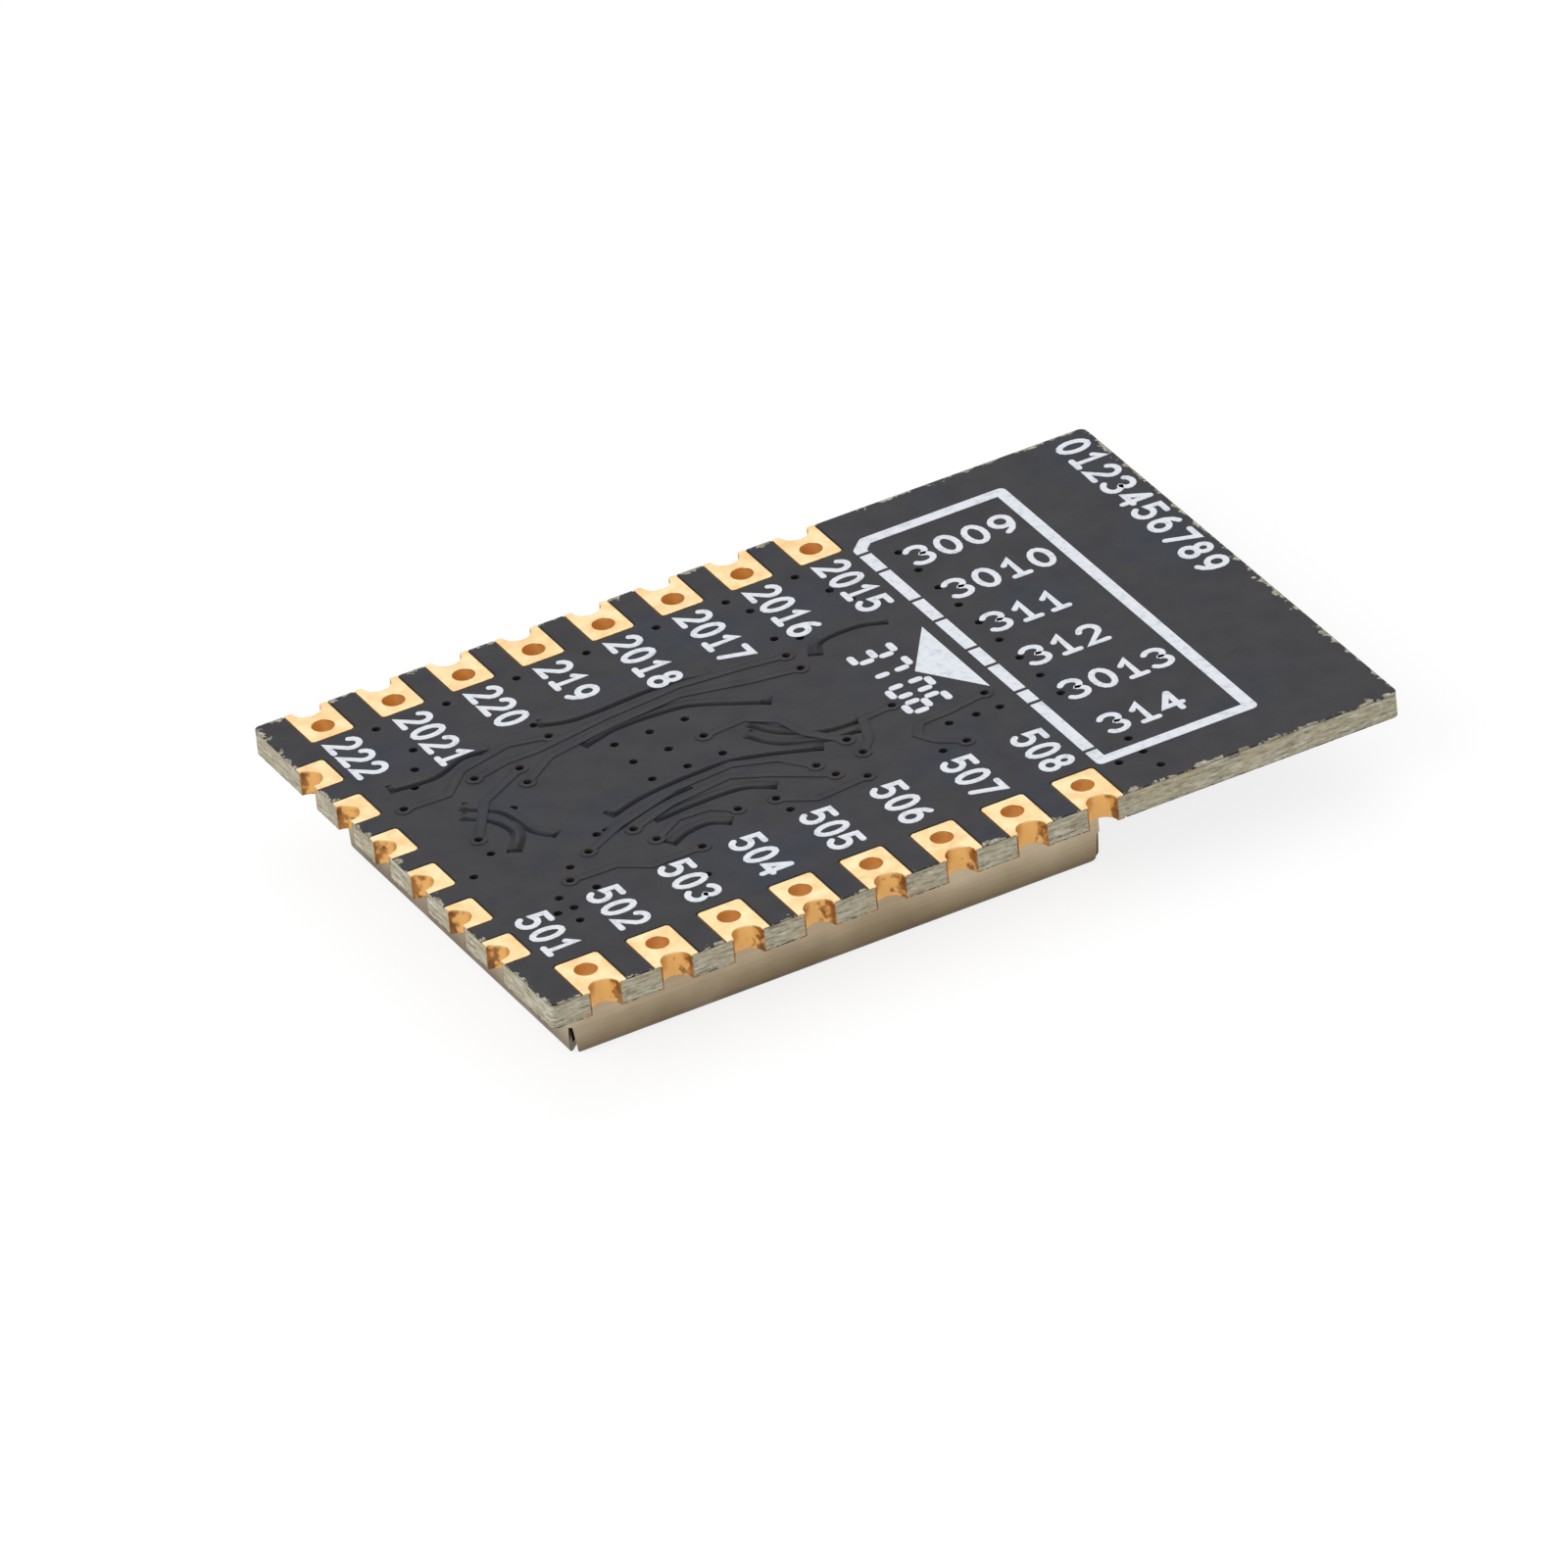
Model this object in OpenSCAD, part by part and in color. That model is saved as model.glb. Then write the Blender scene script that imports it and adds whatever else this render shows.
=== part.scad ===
// Castellated wireless module: a thin board with plated pads on three of its edges,
// a folded shield can over the parts and a printed antenna past the can. It lies on
// the can's lid with its solder side up. +X points to the antenna end and +Z up,
// and the origin is in the lid's outer plane, under the middle of the board.
// Lengths are in millimetres. Board places are x from the pad end and y from the
// near long edge.

/* [Board] */
// Length of the board
board_l = 24; // [22:0.1:28]
// Width of the board
board_w = 16; // [15.6:0.1:18]
// Thickness of the glass-fibre core
core_t = 0.62; // [0.4:0.01:1.6]
// Radius of the board's corners
corner_r = 0.2; // [0.1:0.05:0.8]

/* [Copper] */
// Thickness of the copper on both faces, with its gold finish
copper_t = 0.035; // [0.02:0.005:0.07]
// Thickness of the plating inside castellations and pad holes
plating_t = 0.04; // [0.02:0.005:0.06]
// Width of a signal track
track_w = 0.2; // [0.1:0.05:0.25]

/* [Solder mask] */
// Thickness of the solder mask over the core
mask_t = 0.03; // [0.02:0.005:0.06]
// Thickness of the solder mask over a track
track_cover = 0.012; // [0.008:0.002:0.03]
// Gap between a pad and the solder mask round it
mask_gap = 0.05; // [0.03:0.01:0.08]

/* [Castellated pads] */
// Distance between neighbouring pads of a row
pad_pitch = 2; // [1.8:0.01:2.05]
// Number of pads in each long row
side_pads = 8; // [4:1:8]
// Number of pads in the end row
end_pads = 6; // [2:1:6]
// Distance from the pad end to the first pad of a long row
first_pad = 1.5; // [1.45:0.05:1.6]
// Width of a pad along its edge
pad_w = 1.2; // [1.1:0.05:1.4]
// Length of a pad in the long rows
side_pad_l = 1.55; // [1.45:0.05:1.6]
// Length of a pad in the end row
end_pad_l = 0.75; // [0.6:0.05:0.85]
// Radius of a pad's inner corners
pad_round = 0.1; // [0.05:0.01:0.2]
// Radius of the plated half-round notch in the board's edge
notch_r = 0.4; // [0.25:0.01:0.42]
// Radius of the plated hole in a pad of the long rows
pad_hole_r = 0.3; // [0.2:0.01:0.33]
// Distance from the board's edge to that hole's centre
pad_hole_in = 0.98; // [0.94:0.01:1.05]

/* [Vias] */
// Radius of a via's open hole
via_r = 0.11; // [0.08:0.01:0.13]
// Thickness of a via's copper wall
via_wall = 0.025; // [0.015:0.005:0.04]
// Radius of the copper round a via that a track ends on
via_land_r = 0.2; // [0.18:0.01:0.22]
// Pitch of the three by three heat vias under the main chip
heat_via_pitch = 1; // [0.6:0.05:1.2]
// Pitch of the ground vias beside the antenna
fence_pitch = 1.05; // [0.8:0.05:1.1]

/* [Shield can] */
// Length of the can
can_l = 15; // [14.8:0.05:15.2]
// Height of the can, from its lid's outer face to its foot
can_h = 2.41; // [1.9:0.01:3]
// Thickness of the can's sheet
sheet_t = 0.2; // [0.1:0.01:0.2]
// Inner radius of the fold between lid and wall
fold_r = 0.06; // [0.05:0.01:0.2]
// Width of the slit at each corner of the can, in the lid
slit_w = 0.22; // [0.15:0.01:0.3]
// Height that the slits reach, where the walls meet
slit_h = 0.85; // [0.5:0.05:1.2]
// How far the soldered ground ring reaches past both faces of the can's walls
ring_margin = 0.3; // [0.2:0.01:0.3]
// Clearance between the ground ring and the pads of the long rows
side_clear = 0.15; // [0.1:0.01:0.3]
// Clearance between the ground ring and the pads of the end row
end_clear = 0.3; // [0.15:0.01:0.35]
// Height and width of the solder fillet round the can's foot
can_fillet = 0.22; // [0.05:0.01:0.26]
// Length of each wall's foot left without solder at its ends
can_fillet_end = 0.9; // [0.4:0.05:2]

/* [Antenna] */
// Width of the antenna's track
antenna_w = 0.5; // [0.3:0.05:0.6]
// Distance from the antenna end of the board to the antenna's outer arm
antenna_end = 0.8; // [0.6:0.05:1]
// Distance from the can to the antenna's two feet
antenna_foot = 1.1; // [1.05:0.05:1.3]
// Length of the meander's teeth
tooth_l = 3.6; // [2.5:0.1:4]
// Distance between neighbouring teeth of the meander
tooth_pitch = 1.2; // [0.9:0.05:1.25]
// Number of the meander's turns
teeth = 8; // [4:2:8]

/* [Main chip] */
// Side of the square main chip
soc_size = 5; // [4.5:0.1:5.2]
// Height of the main chip
soc_h = 0.85; // [0.7:0.05:1.2]
// Number of leads on each side of the main chip
soc_pins = 8; // [5:1:8]
// Pitch of the main chip's leads
soc_pitch = 0.5; // [0.45:0.01:0.55]
// Width of a lead
soc_lead_w = 0.25; // [0.15:0.01:0.28]
// Length of a lead
soc_lead_l = 0.4; // [0.25:0.01:0.45]
// Thickness of the lead frame
soc_lead_t = 0.2; // [0.1:0.01:0.25]
// Side of the heat pad under the main chip
soc_pad = 3.7; // [3:0.1:3.7]

/* [Memory chip] */
// Length of the memory chip's body
flash_l = 4.9; // [4.6:0.05:4.95]
// Width of the memory chip's body
flash_w = 3.9; // [3.6:0.05:4]
// Height of the memory chip's body
flash_h = 1.45; // [1.2:0.05:1.5]
// Gap under the memory chip's body
flash_gap = 0.1; // [0.05:0.01:0.15]
// Distance across the tips of the memory chip's legs
flash_span = 6; // [5.8:0.05:6.1]
// Thickness of a leg
leg_t = 0.2; // [0.15:0.01:0.25]
// Width of a leg
leg_w = 0.41; // [0.3:0.01:0.5]
// Length of a leg's flat foot
leg_foot = 0.5; // [0.4:0.01:0.6]
// Pitch of the legs
leg_pitch = 1.27; // [1:0.01:1.3]
// Slope of the memory chip's moulded sides
flash_draft = 0.1; // [0.05:0.01:0.2]

/* [Crystal] */
// Length of the crystal's ceramic case
crystal_l = 2.5; // [2:0.1:2.9]
// Width of the crystal's ceramic case
crystal_w = 2; // [1.6:0.1:2.5]
// Height of the crystal's ceramic case
crystal_h = 0.5; // [0.4:0.05:0.8]
// Thickness of the crystal's metal lid
crystal_lid_t = 0.15; // [0.1:0.05:0.3]
// Ledge of the case round the lid
crystal_ledge = 0.15; // [0.1:0.01:0.3]
// Radius of the notches in the case's corners
crystal_notch_r = 0.2; // [0.1:0.01:0.25]
// Side of the crystal's four lands
crystal_land = 0.8; // [0.5:0.05:0.85]
// Gap between the main chip and the rows of small parts beside it
part_gap = 0.5; // [0.45:0.01:0.55]

/* [Small parts] */
// Length of a capacitor, resistor or coil
chip_l = 1; // [0.9:0.01:1.05]
// Width of a capacitor, resistor or coil
chip_w = 0.5; // [0.45:0.01:0.55]
// Height of a capacitor or coil
chip_h = 0.5; // [0.4:0.01:0.6]
// Height of a resistor
resistor_h = 0.35; // [0.25:0.01:0.4]
// Length of a small part's end cap
cap_l = 0.25; // [0.15:0.01:0.3]
// How far an end cap stands proud of the body
cap_proud = 0.02; // [0.01:0.005:0.04]
// How far a land reaches past the part's end
land_out = 0.2; // [0.15:0.01:0.25]
// How far a land reaches past the part's sides
land_side = 0.05; // [0.02:0.01:0.1]
// Height of the solder fillet at a small part's end
chip_fillet = 0.16; // [0.1:0.01:0.18]

/* [Print] */
// Thickness of the printed ink
ink_t = 0.015; // [0.008:0.001:0.03]
// Width of the printed frame's line
ink_w = 0.33; // [0.2:0.01:0.35]
// Distance from the can to the middle of the frame's first line
frame_from_can = 0.1; // [0.05:0.01:0.3]
// Length of the frame between its lines' middles
frame_l = 4.27; // [3:0.01:4.5]
// Distance from the near edge to the frame's near line
frame_near = 1.7; // [1.5:0.05:2]
// Distance from the far edge to the frame's far line
frame_far = 1.5; // [1.3:0.05:2]
// Width of the breaks in the frame's first line
frame_break = 0.13; // [0.05:0.01:0.16]
// Height of the printed arrow, across the board
arrow_w = 3.5; // [2:0.1:4]
// Length of the printed arrow, along the board
arrow_l = 1.17; // [0.6:0.01:1.3]
// Gap between the arrow and the frame's first line
arrow_gap = 0.36; // [0.25:0.01:0.5]

/* [Hidden] */
$fn = 32;

// Overshoot of a cutter past the face that it opens
cut = 0.1;

// Heights of the core's two faces, between the copper of the two sides
core_lo = can_h + copper_t;
core_hi = core_lo + core_t;
mask_top = core_hi + mask_t;

// The can lies between the pads, clear of them by its ground ring and a clearance
can_w = board_w - 2 * (side_pad_l + side_clear + ring_margin);
can_start = end_pad_l + end_clear + ring_margin;
can_end = can_start + can_l;
can_mid = [can_start + can_l / 2, board_w / 2];
// The can's folds take this much of each wall's height and of the lid's edge
fold_out = fold_r + sheet_t;

// The parts in the can stand in a row from the pad end: crystal, main chip, memory chip.
// The length that they leave free is shared by the gaps at the walls and between them.
free_l = can_l - 2 * sheet_t - crystal_l - soc_size - flash_l;
soc_x = can_start + sheet_t + crystal_l + soc_size / 2 + 0.659 * free_l;
crystal_x = soc_x - (soc_size + crystal_l) / 2 - 0.273 * free_l;
flash_x = soc_x + (soc_size + flash_l) / 2 + 0.227 * free_l;

// The circuit is laid out for a can of 15 by 12, and spreads with the can
spread = [can_l / 15, can_w / 12];
soc = [soc_x, can_mid[1] + 0.75 * spread[1]];
crystal = [crystal_x, soc[1] + 0.77 * spread[1]];
flash = [flash_x, soc[1] - 2.05 * spread[1]];

// The board place of something by its laid out distance from the main chip's middle
function spread_from_soc(p) = soc + [p[0] * spread[0], p[1] * spread[1]];

// Small parts by their laid out distance from the main chip's middle, with their turn
row_off = soc_size / 2 + part_gap + chip_l / 2 + land_out;
row_x = [-2.75, -1, 0.55, 1.6];
capacitors = concat(
    [for (x = row_x) [x, row_off, 90]],
    [for (x = row_x) [x, -row_off, 90]],
    [[-4.6, -2.3, 0], [-4.6, -3.5, 0], [-4.6, 3.3, 0], [5.25, row_off, 90]]
);
resistors = [[3.6, 2.3, 0], [6.6, 1.85, 0]];
coils = [[3.7, row_off, 0], [6.7, 2.9, 0]];

// Via places: the heat grid, the row between the far pads, the fence beside the
// antenna, and those that signals use
heat_vias = [
    for (i = [-1 : 1], j = [-1 : 1]) soc + [i * heat_via_pitch, j * heat_via_pitch]
];
row_vias = [
    for (i = [1 : side_pads - 1])
        [first_pad + (i - 0.5) * pad_pitch, can_mid[1] + can_w / 2 + 0.05]
];
fence_vias = [for (i = [0 : 8]) [can_end + 0.85, board_w - 2.5 - i * fence_pitch]];
foot_vias = [for (p = [[1.15, 2.2], [0.4, 1.35], [1.15, 1.45], [1.2, 0.65]]) [can_end, 0] + p];
// Signal vias, by their laid out distance from the main chip's middle
near_vias = [
    [-5.85, -0.9], [-5.9, -1.65], [-6.75, -2.35], [-3.35, -2.45], [-2.5, -2.8],
    [-3.9, -3.05], [-4.6, -3.4], [-2.25, -3.55], [-4.9, -3.95], [0.05, -3.55],
    [1.05, -3.7], [-5.5, -4.5], [-4.5, -4.6], [-1.5, -4.55], [1.1, -4.35],
    [-5.85, -5.1], [-5.4, -5.1], [-5.55, -5.7], [-2, -5.75]
];
far_vias = [
    [-5.2, 3.85], [-5.6, 3], [-6, 2.25], [-6.7, 1.5], [-4.6, 1.7], [-3.45, 1.45],
    [-3.6, 0.75], [-4.45, -0.1], [-2.2, 3.05], [-2.15, 2.35]
];
antenna_side_vias = [
    [2.6, -2.95], [2.8, -3.6], [3.4, -4.15], [3.8, -2.35], [3.85, -3.1], [5.5, -1.6],
    [5.5, -4.25], [6.2, -4.2], [6.25, -3.2], [7, -3.25], [7.65, -3.3], [7.65, -2.5],
    [4.8, 4.55], [6.9, 4.2], [7.15, 3.5], [4.65, 3], [5.2, 2.65], [4.5, 2.1],
    [5.2, 1.7], [4.5, 1.35]
];
signal_vias = [
    for (p = concat(near_vias, far_vias, antenna_side_vias)) spread_from_soc(p)
];
vias = concat(heat_vias, row_vias, fence_vias, foot_vias, signal_vias);

// Signal tracks of the solder side from via to via, by the same distances
laid_tracks = [
    [[-3.9, -3.05], [-2.7, -2.4], [-0.8, -1.75], [0.9, -1.6], [2, -2.1], [2.6, -2.95]],
    [[-2.5, -2.8], [-1.2, -2.3], [0.6, -2.05], [1.5, -2.6], [2.8, -3.6]],
    [[-2.25, -3.55], [-1.4, -3], [-0.5, -3.05], [0.05, -3.55]],
    [[-4.9, -3.95], [-3.6, -4], [-2.9, -4.55], [-1.5, -4.55]],
    [[-5.85, -0.9], [-4.9, 0.6], [-3.45, 1.45]],
    [[-6.7, 1.5], [-5.5, 1.45], [-4.7, 2.25], [-3.2, 2.65], [-2.15, 2.35]],
    [[-4.6, 1.7], [-3.6, 1.95], [-2.7, 1.95], [-0.6, 2.3], [1.6, 2.5], [3.4, 2.3], [4.5, 2.1]],
    [[-3.6, 0.75], [-2.6, 1.5], [-0.9, 1.85], [1.4, 2.1], [3.2, 1.6], [4.5, 1.35]],
    [[1, 0], [2.2, 0.1], [2.9, -0.5], [3.1, -1.4], [3.8, -2.35]],
    [[5.5, -1.6], [4.6, -1.7], [4.3, -2.6], [3.85, -3.1]],
    [[6.2, -4.2], [5.6, -3.7], [5.35, -3.2], [5.65, -2.75], [6.5, -2.7], [7.65, -2.5]],
    [[1.05, -3.7], [1.9, -4.3], [3.4, -4.15]]
];
tracks = [for (t = laid_tracks) [for (p = t) spread_from_soc(p)]];

// Moves its children from a board place to the part's frame
module at(p, z = 0) translate([p[0] - board_l / 2, p[1] - board_w / 2, z]) children();

// Mounts its children on the component side, their own +Z down towards the lid
module mounted(p, turn = 0) at(p, core_lo) rotate([180, 0, turn]) children();

// Mounts its children at each of a list of laid out places
module mounted_each(places) for (p = places) mounted(spread_from_soc(p), p[2]) children();

// Rectangle about its middle with rounded corners
module rounded(l, w, r) {
    square([l - 2 * r, w], center = true);
    square([l, w - 2 * r], center = true);
    for (sx = [-1, 1], sy = [-1, 1])
        translate([sx * (l / 2 - r), sy * (w / 2 - r)]) circle(r);
}

// Straight line of width w with round ends
module line(p, q, w) {
    translate(p)
        rotate(atan2(q[1] - p[1], q[0] - p[0]))
            translate([0, -w / 2]) square([norm(q - p), w]);
    for (end = [p, q]) translate(end) circle(w / 2);
}

module polyline(points, w)
    for (i = [1 : len(points) - 1]) line(points[i - 1], points[i], w);

// Concave solder fillet between a floor and a wall, of equal width and height
module fillet_profile(size)
    difference() {
        square(size);
        translate([size, size]) circle(size);
    }

module each_via() for (p = vias) at(p) children();

// Pad rows: each child has its origin on the board's edge and +Y into the board
module near_row() for (i = [0 : side_pads - 1]) at([first_pad + i * pad_pitch, 0]) children();

module far_row()
    for (i = [0 : side_pads - 1])
        at([first_pad + i * pad_pitch, board_w]) rotate(180) children();

module end_row()
    for (i = [0 : end_pads - 1])
        at([0, board_w / 2 + (i - (end_pads - 1) / 2) * pad_pitch]) rotate(-90) children();

// Outline of a pad, square at the board's edge and rounded inside, grown by the given gap
module pad_outline(l, gap = 0) {
    half = pad_w / 2 + gap;
    r = pad_round + gap;
    translate([-half, 0]) square([2 * half, l + gap - r]);
    translate([-half + r, 0]) square([2 * half - 2 * r, l + gap]);
    for (s = [-1, 1]) translate([s * (half - r), l + gap - r]) circle(r);
}

// Drilled holes of one pad, widened by the given wall
module pad_drills(in_pad, wall) {
    circle(notch_r + wall);
    if (in_pad) translate([0, pad_hole_in]) circle(pad_hole_r + wall);
}

// One plated pad: a plate on each face, the half-round edge and the pad's own hole
module castellation(l, in_pad) {
    difference() {
        union() {
            for (z = [core_lo - copper_t, core_hi])
                translate([0, 0, z]) linear_extrude(copper_t) pad_outline(l);
            translate([0, 0, core_lo])
                linear_extrude(core_t)
                    intersection() {
                        pad_drills(in_pad, plating_t);
                        translate([-pad_w / 2, 0]) square([pad_w, l]);
                    }
        }
        translate([0, 0, core_lo - copper_t - cut])
            linear_extrude(core_t + 2 * copper_t + 2 * cut) pad_drills(in_pad, 0);
    }
}

// Openings of the solder mask round all pads
module pad_windows() {
    near_row() pad_outline(side_pad_l, mask_gap);
    far_row() pad_outline(side_pad_l, mask_gap);
    end_row() pad_outline(end_pad_l, mask_gap);
}

module all_pad_drills(wall) {
    near_row() pad_drills(true, wall);
    far_row() pad_drills(true, wall);
    end_row() pad_drills(false, wall);
}

// Unit vector to the left of the way from one point to another
function left_of(p, q) = [p[1] - q[1], q[0] - p[0]] / norm(q - p);

// The points of a path moved to its left by d, with mitred corners
function beside(path, d) = [
    for (i = [0 : len(path) - 1])
        let (
            last = len(path) - 1,
            before = left_of(path[max(i - 1, 0)], path[max(i, 1)]),
            after = left_of(path[min(i, last - 1)], path[min(i + 1, last)]),
            both = before + after
        )
            path[i] + both * 2 * d / (both * both)
];

// Signal tracks of the solder side with their lands, all grown by the given amount
module track_lines(grow = 0) {
    half_w = track_w / 2 + grow;
    at([0, 0])
        for (t = tracks) {
            left = beside(t, half_w);
            polygon(concat(beside(t, -half_w), [for (i = [len(t) - 1 : -1 : 0]) left[i]]));
            for (end = [t[0], t[len(t) - 1]]) translate(end) circle(via_land_r + grow);
        }
}

// Antenna: two feet, an outer arm and a meander that runs back across the board
module antenna_lines(grow = 0) {
    w = antenna_w + 2 * grow;
    arm = board_l - antenna_end;
    foot = can_end + antenna_foot;
    ground_y = board_w - 1.4;
    feed_y = ground_y - tooth_pitch;
    first_y = feed_y - tooth_pitch;
    meander = [
        for (i = [0 : 2 * teeth]) [
            arm - ((i % 4 == 1 || i % 4 == 2) ? tooth_l : 0),
            first_y - floor(i / 2) * tooth_pitch
        ]
    ];
    translate([-board_l / 2, -board_w / 2]) {
        polyline([[foot, ground_y], [arm, ground_y], meander[0]], w);
        polyline([[foot, feed_y], [arm, feed_y]], w);
        polyline(meander, w);
    }
}

// Ground ring that the can's foot is soldered to
module ring_outline()
    at(can_mid)
        difference() {
            rounded(can_l + 2 * ring_margin, can_w + 2 * ring_margin, fold_out);
            rounded(
                can_l - 2 * (sheet_t + ring_margin),
                can_w - 2 * (sheet_t + ring_margin),
                fold_out
            );
        }

// One child on each lead place of the main chip, +Y towards the chip's middle
module soc_leads()
    for (side = [0 : 3], i = [0 : soc_pins - 1])
        rotate(90 * side)
            translate([(i - (soc_pins - 1) / 2) * soc_pitch, -soc_size / 2]) children();

// One child on the middle line of the memory chip for each leg, +Y towards its foot
module flash_leg_places()
    for (side = [0, 180], i = [0 : 3])
        rotate(side) translate([(i - 1.5) * leg_pitch, 0]) children();

// One child on each corner of a box
module corners(l, w)
    for (sx = [-1, 1], sy = [-1, 1]) translate([sx * l / 2, sy * w / 2]) children();

module soc_land_outline() {
    square(soc_pad, center = true);
    soc_leads()
        translate([-soc_lead_w / 2, -land_out]) square([soc_lead_w, soc_lead_l + land_out]);
}

module flash_land_outline()
    flash_leg_places()
        translate([-leg_w / 2 - land_side, flash_span / 2 - leg_foot - land_out])
            square([leg_w + 2 * land_side, leg_foot + 2 * land_out]);

module crystal_land_outline()
    corners(crystal_l - crystal_land, crystal_w - crystal_land)
        square(crystal_land, center = true);

module chip_land_outline()
    for (s = [-1, 1])
        translate([s * (chip_l / 2 + (land_out - cap_l) / 2), 0])
            square([cap_l + land_out, chip_w + 2 * land_side], center = true);

// The flat outline of all copper lands, as seen from above the board
module land_outline() {
    at(soc) soc_land_outline();
    at(flash) flash_land_outline();
    at(crystal) crystal_land_outline();
    for (p = concat(capacitors, resistors, coils))
        at(spread_from_soc(p)) rotate(p[2]) chip_land_outline();
}

module laminate() {
    color([0.72, 0.71, 0.6])
        difference() {
            translate([0, 0, core_lo]) linear_extrude(core_t) rounded(board_l, board_w, corner_r);
            translate([0, 0, core_lo - cut])
                linear_extrude(core_t + 2 * cut) {
                    all_pad_drills(plating_t);
                    each_via() circle(via_r + via_wall);
                }
        }
}

// Mask film of the solder side, raised over the tracks and open at pads and vias
module solder_mask_back() {
    color([0.2, 0.21, 0.24])
        translate([0, 0, core_hi])
            difference() {
                union() {
                    linear_extrude(mask_t) rounded(board_l, board_w, corner_r);
                    linear_extrude(copper_t + track_cover) track_lines(mask_t);
                }
                translate([0, 0, -cut]) {
                    linear_extrude(copper_t + cut) track_lines();
                    linear_extrude(copper_t + track_cover + 2 * cut) {
                        pad_windows();
                        each_via() circle(via_r);
                    }
                }
            }
}

// Mask film of the component side, raised over the antenna and open at the lands
module solder_mask_front() {
    color([0.16, 0.17, 0.19])
        translate([0, 0, core_lo])
            mirror([0, 0, 1])
                difference() {
                    union() {
                        linear_extrude(mask_t) rounded(board_l, board_w, corner_r);
                        linear_extrude(copper_t + track_cover) antenna_lines(mask_t);
                    }
                    translate([0, 0, -cut]) {
                        linear_extrude(copper_t + cut) antenna_lines();
                        linear_extrude(copper_t + track_cover + 2 * cut) {
                            pad_windows();
                            ring_outline();
                            land_outline();
                            each_via() circle(via_r);
                        }
                    }
                }
}

module pads_near_row() {
    color([0.93, 0.76, 0.5]) near_row() castellation(side_pad_l, true);
}

module pads_far_row() {
    color([0.93, 0.76, 0.5]) far_row() castellation(side_pad_l, true);
}

module pads_end_row() {
    color([0.93, 0.76, 0.5]) end_row() castellation(end_pad_l, false);
}

// Copper tubes through the core, one in each via
module via_barrels() {
    color([0.72, 0.45, 0.25])
        translate([0, 0, core_lo])
            linear_extrude(core_t)
                each_via()
                    difference() {
                        circle(via_r + via_wall);
                        circle(via_r);
                    }
}

module back_tracks() {
    color([0.72, 0.45, 0.25])
        translate([0, 0, core_hi])
            linear_extrude(copper_t)
                difference() {
                    track_lines();
                    each_via() circle(via_r);
                }
}

module antenna_track() {
    color([0.72, 0.45, 0.25])
        translate([0, 0, core_lo - copper_t])
            linear_extrude(copper_t)
                difference() {
                    antenna_lines();
                    each_via() circle(via_r);
                }
}

module component_lands() {
    color([0.93, 0.76, 0.5])
        translate([0, 0, core_lo - copper_t])
            linear_extrude(copper_t)
                difference() {
                    land_outline();
                    each_via() circle(via_r);
                }
}

module ground_ring() {
    color([0.93, 0.76, 0.5])
        translate([0, 0, core_lo - copper_t])
            linear_extrude(copper_t)
                difference() {
                    ring_outline();
                    each_via() circle(via_r);
                }
}

// Outline of the can across two opposite walls, moved in from its outer face by inset
module can_profile(width, inset) {
    half = width / 2 - inset;
    r = fold_out - inset;
    translate([-half, fold_out]) square([2 * half, can_h - fold_out + inset]);
    translate([-half + r, inset]) square([2 * half - 2 * r, can_h]);
    for (s = [-1, 1]) translate([s * (half - r), fold_out]) circle(r);
}

// The can as a solid block, its folds mitred at the corners
module can_block(inset)
    intersection() {
        rotate([90, 0, 0])
            linear_extrude(can_w - 2 * inset, center = true) can_profile(can_l, inset);
        rotate([90, 0, 90])
            linear_extrude(can_l - 2 * inset, center = true) can_profile(can_w, inset);
    }

// Cutter of one corner's slit, wide in the lid and closed where the walls meet
module corner_slit(turn)
    rotate([90, 0, turn])
        linear_extrude(4 * fold_out, center = true) {
            polygon([
                [-slit_w / 2, -cut], [slit_w / 2, -cut], [slit_w / 2, fold_out],
                [slit_w / 4, slit_h], [-slit_w / 4, slit_h], [-slit_w / 2, fold_out]
            ]);
            translate([0, slit_h]) circle(slit_w / 4);
        }

// One sheet folded down on four sides, its walls apart at the corners of the lid
module shield_can() {
    color([0.66, 0.62, 0.55])
        at(can_mid)
            difference() {
                can_block(0);
                can_block(sheet_t);
                for (sx = [-1, 1], sy = [-1, 1])
                    translate([sx * (can_l / 2 - fold_out), sy * (can_w / 2 - fold_out), 0])
                        corner_slit(sx * sy * 45 + 90);
            }
}

// Solder along the outside of each wall's foot, on the ground ring
module shield_solder() {
    color([0.8, 0.8, 0.8])
        at(can_mid, can_h)
            for (side = [0 : 3]) {
                across = side % 2 == 0 ? can_w : can_l;
                along = side % 2 == 0 ? can_l : can_w;
                rotate(90 * side)
                    translate([0, -across / 2])
                        rotate([90, 0, 90])
                            linear_extrude(along - 2 * (fold_out + can_fillet_end), center = true)
                                rotate(180) fillet_profile(can_fillet);
            }
}

// Copper lead frame of the main chip: the heat pad and a lead at each place
module soc_metal()
    linear_extrude(soc_lead_t) {
        square(soc_pad, center = true);
        soc_leads() translate([-soc_lead_w / 2, 0]) square([soc_lead_w, soc_lead_l]);
    }

module soc_body() {
    color([0.12, 0.12, 0.13])
        mounted(soc)
            translate([0, 0, copper_t])
                difference() {
                    linear_extrude(soc_h) square(soc_size, center = true);
                    soc_metal();
                    translate([-soc_size / 2 + 0.6, soc_size / 2 - 0.6, soc_h - 0.05])
                        cylinder(h = cut, r = 0.25);
                }
}

module soc_lead_frame() {
    color([0.8, 0.78, 0.74]) mounted(soc) translate([0, 0, copper_t]) soc_metal();
}

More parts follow.
